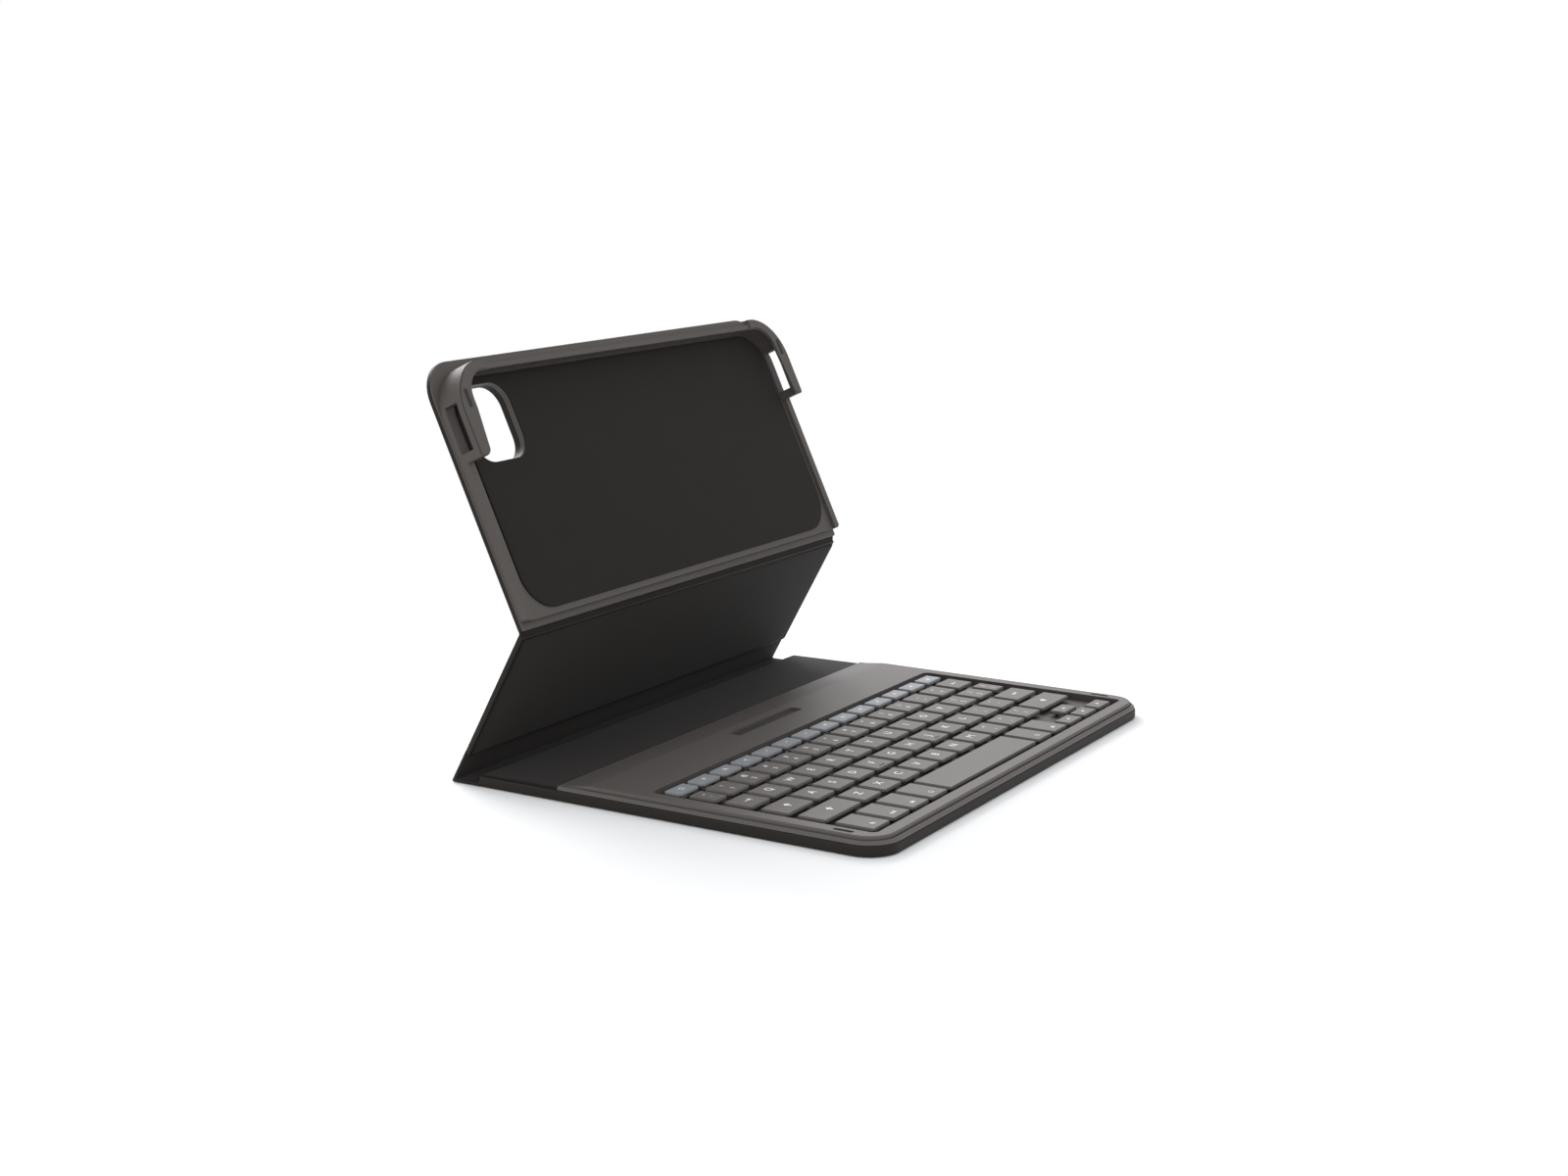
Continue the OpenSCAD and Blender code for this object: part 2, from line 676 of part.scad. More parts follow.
module letter_key(name) {
    color([0.5, 0.48, 0.47]) for (k = letter_keys()) if (k[0] == name) {
        cap(k);
        // Homing bars on f and j
        if (name == "f" || name == "j")
            translate([k[1] - 1.8, front_y + k[2] - key_d / 2 + 2.2, key_z + key_h]) cube([3.6, 0.5, 0.25]);
    }
}

module keys(list) {
    for (k = list) cap(k);
}

module space_key() { color([0.5, 0.48, 0.47]) cap(SPACE); }
module return_key() { color([0.5, 0.48, 0.47]) cap(RETURN); }
module left_shift_key() { color([0.5, 0.48, 0.47]) cap(LEFT_SHIFT); }
module right_shift_key() { color([0.5, 0.48, 0.47]) cap(RIGHT_SHIFT); }
module function_keys() { color([0.66, 0.68, 0.7]) keys(function_row()); }
module number_keys() { color([0.5, 0.48, 0.47]) keys(number_row()); }
module edge_keys() { color([0.5, 0.48, 0.47]) keys(edge_row()); }
module command_keys() { color([0.5, 0.48, 0.47]) keys(command_row()); }

base_cover();
base_board();
keyboard_deck();
key_plate();
switch_membrane();
dome_sheet();
circuit_board();
battery();
charge_port();
dock_pad();
dock_magnets();
rim_magnets();
rim_plates();
rear_apron();
spine_cover();
spine_lining();
gusset_cover();
gusset_lining();
leg_cover();
leg_board();
leg_lining();
tray_cover();
tray_board();
tray_shell();
tray_lining();
bezel_bumpers();
space_key();
return_key();
left_shift_key();
right_shift_key();
function_keys();
number_keys();
edge_keys();
command_keys();
for (c = LETTERS)
    letter_key(c);
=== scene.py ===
"""Looks of the tablet keyboard case: soft skins over the folding panels, key legends, materials, light and camera."""
import math

import bmesh
import bpy
from mathutils import Matrix, Quaternion, Vector


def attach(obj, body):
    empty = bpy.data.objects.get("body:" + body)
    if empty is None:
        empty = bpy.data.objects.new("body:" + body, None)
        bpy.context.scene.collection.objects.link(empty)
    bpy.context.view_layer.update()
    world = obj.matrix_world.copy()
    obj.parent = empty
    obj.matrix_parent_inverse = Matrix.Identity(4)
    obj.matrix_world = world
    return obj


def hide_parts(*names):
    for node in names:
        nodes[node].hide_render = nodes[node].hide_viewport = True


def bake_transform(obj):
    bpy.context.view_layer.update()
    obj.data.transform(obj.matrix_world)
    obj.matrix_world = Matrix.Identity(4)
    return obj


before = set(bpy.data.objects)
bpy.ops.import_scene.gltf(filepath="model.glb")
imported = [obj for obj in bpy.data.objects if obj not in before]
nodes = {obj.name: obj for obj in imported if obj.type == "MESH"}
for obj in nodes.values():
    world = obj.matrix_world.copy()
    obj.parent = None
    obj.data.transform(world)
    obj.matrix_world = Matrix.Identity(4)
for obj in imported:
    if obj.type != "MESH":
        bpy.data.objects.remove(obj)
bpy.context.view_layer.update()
MM = 0.001
scene = bpy.context.scene

# ---------------------------------------------------------------- sizes shared with the CAD (mm)
HALF_W, BASE_R = 130.0, 14.0
FRONT, REAR = -96.5, 96.5
TABLET_W, TABLET_H, TABLET_T, TABLET_R, BAY_GAP = 248.6, 179.5, 7.8, 18.0, 0.3
TILT, HANG, LEG_L, GUSSET, DOCK_Y, RIM_H = 64.7, 70.0, 77.0, 15.0, 134.2, 7.8
SKIN, LINING, SHELL, COVER = 1.0, 0.8, 2.6, 3.0
TOP_WALL = 4.0
PORT_Y, PORT_Z = 131, 3.5  # middle of the charging socket, from the base's front edge and underside
CAMERA_W, CAMERA_R, CAMERA_IN = 34, 10, 22  # camera opening: width, corner radius and place from the bay's corner
LAP, LAP_R = 3.7, 16.0  # how far the cover stands above the shell, and its corner radius
BAY_HALF, BAY_TOP = TABLET_W / 2 + BAY_GAP, TABLET_H + BAY_GAP
TRAY_TOP = BAY_TOP + TOP_WALL
TRAY_BACK = -(TABLET_T + 0.2)
SHELL_FRONT = TRAY_BACK - LINING
COVER_FRONT = SHELL_FRONT - SHELL
TRAY_OUTER = COVER_FRONT - COVER
SIN, COS = math.sin(math.radians(TILT)), math.cos(math.radians(TILT))
TRAY_Y = FRONT + DOCK_Y - TABLET_T * SIN
TRAY_Z = RIM_H - 0.5 + TABLET_T * COS
FOLD_Y = TRAY_Y + HANG * COS - TRAY_OUTER * SIN
FOLD_Z = TRAY_Z + HANG * SIN + TRAY_OUTER * COS
LEG_A = math.asin(FOLD_Z / LEG_L)
CREASE_Y = FOLD_Y + math.sqrt(LEG_L**2 - FOLD_Z**2)
TO_TRAY = Matrix.Translation((0, TRAY_Y, TRAY_Z)) @ Matrix.Rotation(math.radians(TILT), 4, "X")
TO_LEG = Matrix.Translation((0, CREASE_Y, 0)) @ Matrix.Rotation(math.pi - LEG_A, 4, "X")
FLAT = Matrix.Identity(4)


# ---------------------------------------------------------------- materials
def group_node(tree, kind, at, **settings):
    n = tree.nodes.new(kind)
    n.location = at
    for key, value in settings.items():
        if key in n.inputs:
            n.inputs[key].default_value = value
        else:
            setattr(n, key, value)
    return n


def make_grain_group():
    """Colour mottling, roughness change and a height from two noises and a cell pattern, in object coordinates."""
    g = bpy.data.node_groups.new("Grain", "ShaderNodeTree")
    i = g.interface
    for name, value in (("Scale", 1200.0), ("Mottle", 0.1), ("Cells", 0.5), ("Rough", 0.5), ("Spread", 0.08)):
        s = i.new_socket(name=name, in_out="INPUT", socket_type="NodeSocketFloat")
        s.default_value = value
    c = i.new_socket(name="Base", in_out="INPUT", socket_type="NodeSocketColor")
    c.default_value = (0.1, 0.1, 0.1, 1)
    i.new_socket(name="Color", in_out="OUTPUT", socket_type="NodeSocketColor")
    i.new_socket(name="Roughness", in_out="OUTPUT", socket_type="NodeSocketFloat")
    i.new_socket(name="Height", in_out="OUTPUT", socket_type="NodeSocketFloat")
    a = group_node(g, "NodeGroupInput", (-900, 0))
    b = group_node(g, "NodeGroupOutput", (700, 0))
    co = group_node(g, "ShaderNodeTexCoord", (-900, 300))
    fine = group_node(g, "ShaderNodeTexNoise", (-600, 200), Detail=4.0, Roughness=0.6)
    broad = group_node(g, "ShaderNodeTexNoise", (-600, -100), Scale=45.0, Detail=3.0)
    cells = group_node(g, "ShaderNodeTexVoronoi", (-600, -400), feature="DISTANCE_TO_EDGE")
    link = g.links.new
    for n in (fine, broad, cells):
        link(co.outputs["Object"], n.inputs["Vector"])
    link(a.outputs["Scale"], fine.inputs["Scale"])
    link(a.outputs["Scale"], cells.inputs["Scale"])
    # Colour: darker and lighter patches round the base colour
    span = group_node(g, "ShaderNodeMath", (-350, -100), operation="SUBTRACT")
    link(broad.outputs["Fac"], span.inputs[0])
    span.inputs[1].default_value = 0.5
    amount = group_node(g, "ShaderNodeMath", (-180, -100), operation="MULTIPLY_ADD")
    link(span.outputs[0], amount.inputs[0])
    link(a.outputs["Mottle"], amount.inputs[1])
    amount.inputs[2].default_value = 1.0
    scaled = group_node(g, "ShaderNodeVectorMath", (0, 0), operation="SCALE")
    link(a.outputs["Base"], scaled.inputs[0])
    link(amount.outputs[0], scaled.inputs["Scale"])
    link(scaled.outputs[0], b.inputs["Color"])
    # Roughness follows the fine noise
    rough = group_node(g, "ShaderNodeMath", (0, 250), operation="MULTIPLY_ADD")
    shifted = group_node(g, "ShaderNodeMath", (-180, 250), operation="SUBTRACT")
    link(fine.outputs["Fac"], shifted.inputs[0])
    shifted.inputs[1].default_value = 0.5
    link(shifted.outputs[0], rough.inputs[0])
    link(a.outputs["Spread"], rough.inputs[1])
    link(a.outputs["Rough"], rough.inputs[2])
    link(rough.outputs[0], b.inputs["Roughness"])
    # Height: noise blended with cells
    clip = group_node(g, "ShaderNodeMath", (-350, -400), operation="MINIMUM")
    link(cells.outputs["Distance"], clip.inputs[0])
    clip.inputs[1].default_value = 0.25
    four = group_node(g, "ShaderNodeMath", (-180, -400), operation="MULTIPLY")
    link(clip.outputs[0], four.inputs[0])
    four.inputs[1].default_value = 4.0
    mix = group_node(g, "ShaderNodeMix", (100, -350), data_type="FLOAT")
    link(a.outputs["Cells"], mix.inputs["Factor"])
    link(fine.outputs["Fac"], mix.inputs[2])
    link(four.outputs[0], mix.inputs[3])
    link(mix.outputs[0], b.inputs["Height"])
    return g


GRAIN = make_grain_group()
GLINT = (1.0, 0.96, 0.93)  # warm tint of every highlight


def material(name, color, rough=0.5, scale=1200.0, cells=0.0, mottle=0.15, spread=0.1, bump=0.2, depth=0.02,
             metallic=0.0, sheen=0.0, specular=0.5):
    """A finish from the shared grain. Scale is the grain's fineness and depth its height in mm."""
    m = bpy.data.materials.new(name)
    m.use_nodes = True
    t = m.node_tree
    p = t.nodes["Principled BSDF"]
    g = group_node(t, "ShaderNodeGroup", (-500, 0))
    g.node_tree = GRAIN
    for key, value in (("Scale", scale), ("Mottle", mottle), ("Cells", cells), ("Rough", rough), ("Spread", spread)):
        g.inputs[key].default_value = value
    g.inputs["Base"].default_value = (*color, 1)
    b = group_node(t, "ShaderNodeBump", (-250, -250))
    b.inputs["Strength"].default_value = bump
    b.inputs["Distance"].default_value = depth * MM
    t.links.new(g.outputs["Color"], p.inputs["Base Color"])
    t.links.new(g.outputs["Roughness"], p.inputs["Roughness"])
    t.links.new(g.outputs["Height"], b.inputs["Height"])
    t.links.new(b.outputs["Normal"], p.inputs["Normal"])
    p.inputs["Metallic"].default_value = metallic
    p.inputs["Specular IOR Level"].default_value = specular
    p.inputs["Specular Tint"].default_value = (*GLINT, 1)
    p.inputs["Sheen Weight"].default_value = sheen
    p.inputs["Sheen Roughness"].default_value = 0.5
    m.diffuse_color = (*color, 1)
    return m


COVER_M = material("Cover", (0.0082, 0.0062, 0.0052), rough=0.55, scale=1500, cells=0.7, bump=0.5, depth=0.06,
                   mottle=0.2, specular=0.3)
# Lining: dark microfibre; its base colour is also lowered as painted shade, standing in for the shadow the tablet casts
# on the leg and apron
LINING_M = material("Lining", (0.0118, 0.0096, 0.0084), rough=0.8, scale=2600, bump=0.5, depth=0.04, mottle=0.25,
                    sheen=0.06, specular=0.18)
DECK_M = material("Deck", (0.086, 0.075, 0.07), rough=0.45, scale=4500, bump=0.35, depth=0.012, mottle=0.06)
SHELL_M = material("Shell", (0.07, 0.06, 0.055), rough=0.58, scale=4500, bump=0.35, depth=0.012, mottle=0.06)
KEY_M = material("Keys", (0.112, 0.1, 0.094), rough=0.45, scale=5200, bump=0.3, depth=0.01, mottle=0.05)
FN_M = material("Function keys", (0.25, 0.265, 0.28), rough=0.4, scale=5200, bump=0.3, depth=0.01, mottle=0.05)
PAD_M = material("Rubber", (0.012, 0.011, 0.011), rough=0.6, scale=2500, bump=0.3, depth=0.02)
BOARD_M = material("Board", (0.1, 0.1, 0.1), rough=0.7, scale=900)
STEEL_M = material("Steel", (0.55, 0.55, 0.56), rough=0.32, scale=3000, metallic=1.0)
FILM_M = material("Film", (0.5, 0.53, 0.45), rough=0.4)
DOME_M = material("Silicone", (0.6, 0.6, 0.58), rough=0.6)
CIRCUIT_M = material("Circuit", (0.02, 0.12, 0.06), rough=0.4)
CELL_M = material("Cell", (0.6, 0.6, 0.62), rough=0.35, metallic=1.0)
LEGEND_M = material("Legend", (0.88, 0.87, 0.86), rough=0.5, mottle=0.0, bump=0.0)

FINISH = {"base_board": BOARD_M, "leg_board": BOARD_M, "tray_board": BOARD_M, "keyboard_deck": DECK_M,
          "key_plate": STEEL_M, "switch_membrane": FILM_M, "dome_sheet": DOME_M, "circuit_board": CIRCUIT_M,
          "battery": CELL_M, "charge_port": STEEL_M, "dock_pad": PAD_M, "dock_magnets": STEEL_M,
          "rim_magnets": STEEL_M, "rim_plates": PAD_M, "rear_apron": LINING_M, "spine_lining": LINING_M,
          "gusset_lining": LINING_M, "leg_lining": LINING_M, "tray_lining": LINING_M, "tray_shell": SHELL_M,
          "bezel_bumpers": PAD_M, "function_keys": FN_M}
for name, obj in nodes.items():
    finish = FINISH.get(name, COVER_M if name.endswith("_cover") else KEY_M)
    obj.data.materials.clear()
    obj.data.materials.append(finish)


# Painted shade: caps get darker towards their foot, standing in for the self-shadow down by the key well
for mat in (KEY_M, FN_M):
    t = mat.node_tree
    p = t.nodes["Principled BSDF"]
    source = p.inputs["Base Color"].links[0].from_socket
    where = group_node(t, "ShaderNodeTexCoord", (-900, -300))
    split = group_node(t, "ShaderNodeSeparateXYZ", (-720, -300))
    painted_foot_shade = group_node(t, "ShaderNodeMapRange", (-540, -300))
    for key, value in (("From Min", 0.0062), ("From Max", 0.00755), ("To Min", 0.2), ("To Max", 1.0)):
        painted_foot_shade.inputs[key].default_value = value
    shade = group_node(t, "ShaderNodeVectorMath", (-250, 100), operation="SCALE")
    t.links.new(where.outputs["Object"], split.inputs[0])
    t.links.new(split.outputs["Z"], painted_foot_shade.inputs["Value"])
    t.links.new(source, shade.inputs[0])
    t.links.new(painted_foot_shade.outputs["Result"], shade.inputs["Scale"])
    t.links.new(shade.outputs[0], p.inputs["Base Color"])

# Painted shade: the floor of the key pan and its walls, the rim slots and the deck faces below the lip get a darker
# copy of the deck plastic, standing in for the shade in these recesses and under the rim
PAN_SHADE_M = material("Key well painted shade", (0.05, 0.043, 0.04), rough=0.6, scale=4500, bump=0.2, depth=0.012)
PAN_X, PAN_Y0, PAN_Y1 = 0.1212, -0.0885, 0.0148  # edges of the key pan, in metres
SLOT_X, SLOT_Y, SLOT_HALF_W, SLOT_HALF_L = 0.1239, -0.076, 0.0013, 0.0047  # slots in the rim
BELOW_RIM, BELOW_LIP = 0.0077, 0.0046
deck_mesh = nodes["keyboard_deck"].data
deck_mesh.materials.append(PAN_SHADE_M)
for poly in deck_mesh.polygons:
    x, y, z = nodes["keyboard_deck"].matrix_world @ poly.center
    in_pan = abs(x) < PAN_X and PAN_Y0 < y < PAN_Y1
    in_slot = abs(abs(x) - SLOT_X) < SLOT_HALF_W and abs(y - SLOT_Y) < SLOT_HALF_L
    if ((in_pan or in_slot) and z < BELOW_RIM) or z < BELOW_LIP:
        poly.material_index = 1


# ---------------------------------------------------------------- mesh helpers
def new_mesh(name, verts, faces, mat, place=FLAT, smooth_angle=40.0):
    """A closed mesh in the row frame from points in mm."""
    me = bpy.data.meshes.new(name)
    me.from_pydata([place @ Vector(v) * MM for v in verts], [], faces)
    bm = bmesh.new()
    bm.from_mesh(me)
    bmesh.ops.recalc_face_normals(bm, faces=bm.faces)
    bm.to_mesh(me)
    bm.free()
    me.materials.append(mat)
    obj = bpy.data.objects.new(name, me)
    scene.collection.objects.link(obj)
    me.shade_smooth()
    me.set_sharp_from_angle(angle=math.radians(smooth_angle))
    return obj


def loft(rings):
    """Closed rings of equal length joined in order, with both ends capped."""
    n = len(rings[0])
    verts = [p for r in rings for p in r]
    faces = []
    for a in range(len(rings) - 1):
        for k in range(n):
            q = (k + 1) % n
            faces.append((a * n + k, a * n + q, (a + 1) * n + q, (a + 1) * n + k))
    faces.append(tuple(reversed(range(n))))
    faces.append(tuple(range((len(rings) - 1) * n, len(rings) * n)))
    return verts, faces


def rounded_ring(w, y0, y1, r_low, r_high, inset, z, seg=10):
    """Rounded rectangle, anticlockwise, with one radius for its low and one for its high corners."""
    pts = []
    hw = w / 2 - inset
    a0, a1 = y0 + inset, y1 - inset
    for sx, cy, r, start in ((1, a0, r_low, -90), (1, a1, r_high, 0), (-1, a1, r_high, 90), (-1, a0, r_low, 180)):
        r = max(r - inset, 0.05)
        oy = cy + r if cy == a0 else cy - r
        for k in range(seg + 1):
            t = math.radians(start + 90 * k / seg)
            pts.append((sx * (hw - r) + r * math.cos(t), oy + r * math.sin(t), z))
    return pts


def pad(name, w, y0, y1, z0, z1, mat, place, r_low=1.0, r_high=1.0, low_edge=0.5, high_edge=0.5, crown=0.0,
        seam=0.0):
    """A slab with rounded rim, whose upper face can swell by crown. A pressed seam can run round its lower face."""
    rings = [(seam + 1.0, z0), (seam + 0.7, z0 + 0.13), (seam + 0.3, z0 + 0.13), (seam, z0)] if seam else []
    for k in range(5):
        t = math.radians(90 * k / 4)
        rings.append((low_edge * (1 - math.sin(t)), z0 + low_edge * (1 - math.cos(t))))
    for k in range(5):
        t = math.radians(90 * k / 4)
        rings.append((high_edge * (1 - math.cos(t)), z1 - high_edge * (1 - math.sin(t))))
    if crown:
        rings += [(high_edge + 1.2, z1 + crown * 0.45), (high_edge + 3.0, z1 + crown * 0.8),
                  (high_edge + 7.0, z1 + crown)]
    rings = [rounded_ring(w, y0, y1, r_low, r_high, i, z) for i, z in rings]
    verts, faces = loft(rings)
    return new_mesh(name, verts, faces, mat, place)


def ribbon(name, outer, inner, half, mat, steps=48):
    """A strip whose YZ section runs along outer and back along inner, drawn out along X with soft side edges."""
    n = len(outer)
    sect = [(y, z) for y, z in outer] + [(y, z) for y, z in reversed(inner)]
    mate = list(reversed(range(2 * n)))
    xs = [(-half, 0.35), (-half + 0.15, 0.16), (-half + 0.45, 0.03)]
    for k in range(steps + 1):
        xs.append((-half + 0.9 + (2 * half - 1.8) * k / steps, 0.0))
    xs += [(half - 0.45, 0.03), (half - 0.15, 0.16), (half, 0.35)]
    rings = []
    for x, squeeze in xs:
        ring = []
        for k, (y, z) in enumerate(sect):
            oy, oz = sect[mate[k]]
            ring.append((x, y + (oy - y) * squeeze, z + (oz - z) * squeeze))
        rings.append(ring)
    verts, faces = loft(rings)
    obj = new_mesh(name, verts, faces, mat, FLAT, 50.0)
    if len(outer) == len(inner):
        obj.data.materials.append(LINING_M)
        for a in range(len(rings) - 1):
            for k in range(n, 2 * n - 1):
                obj.data.polygons[a * 2 * n + k].material_index = 1
    return obj


def fillet(points, radius, seg=6):
    """The same polyline with its inner corners rounded to radius."""
    out = [points[0]]
    for i in range(1, len(points) - 1):
        a, b, c = (Vector(points[k]) for k in (i - 1, i, i + 1))
        u, v = (a - b).normalized(), (c - b).normalized()
        half = u.angle(v) / 2
        if abs(math.pi / 2 - half) < 1e-3 or radius <= 0:
            out.append(tuple(b))
            continue
        reach = min(radius / math.tan(half), (a - b).length * 0.49, (c - b).length * 0.49)
        r = reach * math.tan(half)
        centre = b + (u + v).normalized() * (r / math.sin(half))
        start, end = b + u * reach - centre, b + v * reach - centre
        turn = start.angle_signed(end)
        for k in range(seg + 1):
            d = start.copy()
            d.rotate(Matrix.Rotation(-turn * k / seg, 2))
            out.append(tuple(centre + d))
    out.append(points[-1])
    return out


def cut(obj, cutter):
    """obj with the cutter's shape taken out, as a plain mesh."""
    m = obj.modifiers.new("cut", "BOOLEAN")
    m.object, m.operation, m.solver = cutter, "DIFFERENCE", "EXACT"
    bpy.context.view_layer.update()
    done = bpy.data.meshes.new_from_object(obj.evaluated_get(bpy.context.evaluated_depsgraph_get()))
    obj.modifiers.clear()
    obj.data = done
    bpy.data.objects.remove(cutter)
    done.shade_smooth()
    done.set_sharp_from_angle(angle=math.radians(40))
    return obj


def slab_ring(name, w, y0, y1, r, z0, z1, x=0.0, place=FLAT):
    """A plain slab with rounded corners, used as a cutter."""
    rings = [[(px + x, py, pz) for px, py, pz in rounded_ring(w, y0, y1, r, r, 0, z)] for z in (z0, z1)]
    verts, faces = loft(rings)
    return new_mesh(name, verts, faces, COVER_M, place)


def leg_point(y, z):
    """A point of the leg's own section, in the frame of the whole case."""
    p = TO_LEG @ Vector((0, y, z))
    return (p.y, p.z)


def tray_point(y, z):
    """A point of the tray's own section, in the frame of the whole case."""
    p = TO_TRAY @ Vector((0, y, z))
    return (p.y, p.z)


# ---------------------------------------------------------------- soft skin of the base
def base_skin():
    """Tub of soft cover: a rolled side band round three sides of a thin floor."""
    profile = [(3.0, 0.0), (0.9, 0.04), (0.45, 0.16), (0.16, 0.42), (0.03, 0.85), (0.0, 1.4), (0.0, 3.4),
               (0.06, 4.1), (0.25, 4.5), (0.5, 4.6), (0.76, 4.55), (0.95, 4.35), (1.0, 4.0), (1.0, 1.0), (3.0, 1.0)]
    rings = []
    for inset, z in profile:
        hw, y0, r = HALF_W - inset, FRONT + inset, BASE_R - inset
        tail = REAR - 0.3 - 1.4 * min(1, max(0, z - 1.2))  # the band ends a little before the floor does
        ring = [(-hw, tail, z), (-hw, 40, z)]
        for cx, start in ((-hw + r, 180), (hw - r, 270)):
            for k in range(13):
                t = math.radians(start + 90 * k / 12)
                ring.append((cx + r * math.cos(t), y0 + r + r * math.sin(t), z))
        ring += [(hw, 40, z), (hw, tail, z)]
        rings.append(ring)
    n = len(rings[0])
    verts = [p for r in rings for p in r]
    faces = []
    last = len(rings) - 1
    for a in range(last):
        for k in range(n - 1):
            faces.append((a * n + k, a * n + k + 1, (a + 1) * n + k + 1, (a + 1) * n + k))
    faces.append(tuple(range(n)))
    faces.append(tuple(range(last * n, (last + 1) * n)))
    faces.append(tuple(a * n for a in range(last + 1)))
    faces.append(tuple(a * n + n - 1 for a in range(last + 1)))
    faces.append((0, n - 1, last * n + n - 1, last * n))
    obj = new_mesh("base_skin", verts, faces, COVER_M)
    at_port = (Matrix.Translation((HALF_W - 8, FRONT + PORT_Y, PORT_Z)) @ Matrix.Rotation(math.radians(90), 4, "Z")
               @ Matrix.Rotation(math.radians(90), 4, "X"))
    return cut(obj, slab_ring("port_cutter", 9.6, -1.7, 1.7, 1.6, 0, 10, place=at_port))


skin = base_skin()
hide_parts("base_cover")
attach(skin, "base")

# Apron: a thin board wrapped in lining behind the hard deck
DECK_END = 152.05
APRON_Y0, APRON_Y1 = FRONT + DECK_END, REAR - 1.8
section = fillet([(APRON_Y0, 1.0), (APRON_Y1, 1.0), (APRON_Y1, 5.1), (APRON_Y0, 5.65)], 1.1, 6)
side = [(128.8, 0.5), (128.65, 0.22), (128.3, 0.05), (127.8, 0.0)]  # half width, and how far the edge is rolled
stations = [(-x, drop) for x, drop in side] + side[::-1]
verts, faces = loft([[(x, y - drop * 0.4 if y > APRON_Y1 - 3 else y, z - drop if z > 3 else z) for y, z in section]
                     for x, drop in stations])
apron = new_mesh("apron_skin", verts, faces, LINING_M)
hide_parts("rear_apron")
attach(apron, "base")

# ---------------------------------------------------------------- folding panels
EDGE = 129.8
leg_pad = pad("leg_skin", 2 * EDGE, GUSSET + 0.3, LEG_L - 0.3, 0.0, SKIN + 1.6, COVER_M, TO_LEG,
              0.8, 0.8, 0.8, 0.7, seam=3.2)
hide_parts("leg_cover", "leg_board")
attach(leg_pad, "leg")
leg_lining = pad("leg_lining_skin", 2 * EDGE - 2.4, GUSSET + 1.6, LEG_L - 1.6, SKIN + 1.5, SKIN + 2.25, LINING_M,
                 TO_LEG, 1.2, 1.2, 0.2, 0.45, crown=0.15)
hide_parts("leg_lining")
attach(leg_lining, "leg")

tray_pad = pad("tray_skin", 2 * HALF_W, HANG + 0.3, TRAY_TOP + LAP, TRAY_OUTER, COVER_FRONT, COVER_M, TO_TRAY,
               1.0, LAP_R, 1.2, 0.6, seam=3.2)


def cut_camera(piece, z0, z1):
    """The camera opening cut through a piece of the tray between two heights."""
    x, y = -BAY_HALF + CAMERA_IN, BAY_TOP - CAMERA_IN
    cut(piece, slab_ring("camera_cutter", CAMERA_W, y - CAMERA_W / 2, y + CAMERA_W / 2, CAMERA_R, z0, z1, x, TO_TRAY))


cut_camera(tray_pad, TRAY_OUTER - 1, COVER_FRONT + 1)
# Its front edge stands beside the shell and has the shell's finish
from_tray = TO_TRAY.inverted()
tray_pad.data.materials.append(SHELL_M)
for poly in tray_pad.data.polygons:
    if (from_tray @ (poly.center / MM)).z > COVER_FRONT - 0.45:
        poly.material_index = 1
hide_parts("tray_cover", "tray_board")
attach(tray_pad, "tray")
tray_lining = pad("tray_lining_skin", 2 * BAY_HALF - 3, HANG + 6, BAY_TOP - 1.5, SHELL_FRONT, TRAY_BACK - 0.1,
                  LINING_M, TO_TRAY, TABLET_R - 1, TABLET_R - 1, 0.2, 0.35, crown=0.1)
cut_camera(tray_lining, SHELL_FRONT - 1, TRAY_BACK + 1)
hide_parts("tray_lining")
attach(tray_lining, "tray")

# Strips that bridge the creases, each shaped in the rest pose between the two bodies that meet there
mid_spine = (REAR + CREASE_Y) / 2
T = SKIN + LINING
mitre = T / math.tan(LEG_A / 2)
crease_a = ribbon("rear_crease",
                  [(REAR - 1.7, 0.02), (REAR - 0.5, 0.0), (REAR, 0.0), (REAR + 0.5, 0.0), (mid_spine, 0.0)],
                  [(REAR - 1.7, 0.98), (REAR - 0.5, 1.3), (REAR, 1.55), (REAR + 0.5, 1.75), (mid_spine, T)],
                  HALF_W, COVER_M)
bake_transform(crease_a)
outer = fillet([(mid_spine, 0.0), (CREASE_Y, 0.0), leg_point(GUSSET / 2, 0.0)], 0.6, 8)
inner_corner = (CREASE_Y - mitre, T)
inner = fillet([(mid_spine, T), inner_corner, leg_point(GUSSET / 2, T)], 0.4, 8)
crease_b = ribbon("floor_crease", outer, inner, HALF_W, COVER_M)
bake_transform(crease_b)
crease_c = ribbon("leg_crease",
                  [leg_point(GUSSET / 2, 0), leg_point(GUSSET - 1, 0), leg_point(GUSSET, 0.06),
                   leg_point(GUSSET + 1.2, 0.02)],
                  [leg_point(GUSSET / 2, T), leg_point(GUSSET - 1, T), leg_point(GUSSET, 1.6),
                   leg_point(GUSSET + 1.2, 1.7)],
                  HALF_W - 0.05, COVER_M)
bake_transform(crease_c)
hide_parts("spine_cover", "spine_lining")
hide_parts("gusset_cover", "gusset_lining")
fold_out = [leg_point(LEG_L - 1.6, 0.1), leg_point(LEG_L - 0.3, 0.02),
            tray_point(HANG + 0.3, TRAY_OUTER + 0.02), tray_point(HANG + 1.6, TRAY_OUTER + 0.1)]
fold_in = [leg_point(LEG_L - 1.6, 1.9), leg_point(LEG_L - 0.2, 1.7),
           tray_point(HANG + 0.2, TRAY_OUTER + 1.7), tray_point(HANG + 1.6, TRAY_OUTER + 1.9)]
crease_d = ribbon("tray_crease", fold_out, fold_in, HALF_W - 0.3, COVER_M)
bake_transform(crease_d)

